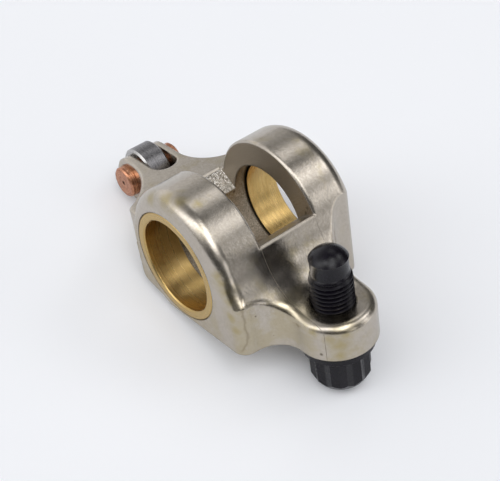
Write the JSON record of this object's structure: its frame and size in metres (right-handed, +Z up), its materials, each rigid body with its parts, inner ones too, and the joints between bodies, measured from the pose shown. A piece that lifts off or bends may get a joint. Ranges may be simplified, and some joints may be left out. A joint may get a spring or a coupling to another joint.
{
  "type": "roller rocker arm",
  "caption": "Cast steel valve rocker arm with bronze-bushed shaft bore, a roller on a pin in its forked nose, and a locked push-rod adjusting screw with a domed end.",
  "frame": {"origin": "on the axis of the shaft bore, midway between the body's two end faces", "axes": "+Y along the shaft bore towards the rear face, +Z up from the surface the arm lies on, +X from the nose towards the adjusting screw"},
  "size_m": [0.0837, 0.0382, 0.0358],
  "materials": {
    "cast_steel": "plated and bead-blasted, satin",
    "bronze": "bored and faced",
    "copper_plate": "copper-plated, dull",
    "ground_steel": "ground",
    "black_steel": "black oxide, oiled"
  },
  "bodies": {
    "rocker": {"rocker_body": "cast_steel", "front_bush": "bronze", "rear_bush": "bronze", "roller_pin": "copper_plate"},
    "roller": {"roller": "ground_steel"},
    "screw": {"adjusting_screw": "black_steel"},
    "nut": {"lock_nut": "black_steel"}
  },
  "joints": [
    {"name": "roller_spin", "type": "hinge", "parent": "rocker", "child": "roller", "pos_m": [-0.03551, 0, -0.01074], "axis": [0, 1, 0], "continuous": true},
    {"name": "screw_travel", "type": "slide", "parent": "rocker", "child": "screw", "axis": [-0.2869, 0, 0.958], "range_m": [-0.003, 0.004]},
    {"name": "lock_nut_turn", "type": "hinge", "parent": "rocker", "child": "nut", "pos_m": [0.03255, 0, -0.00518], "axis": [-0.2869, 0, 0.958], "continuous": true}
  ]
}
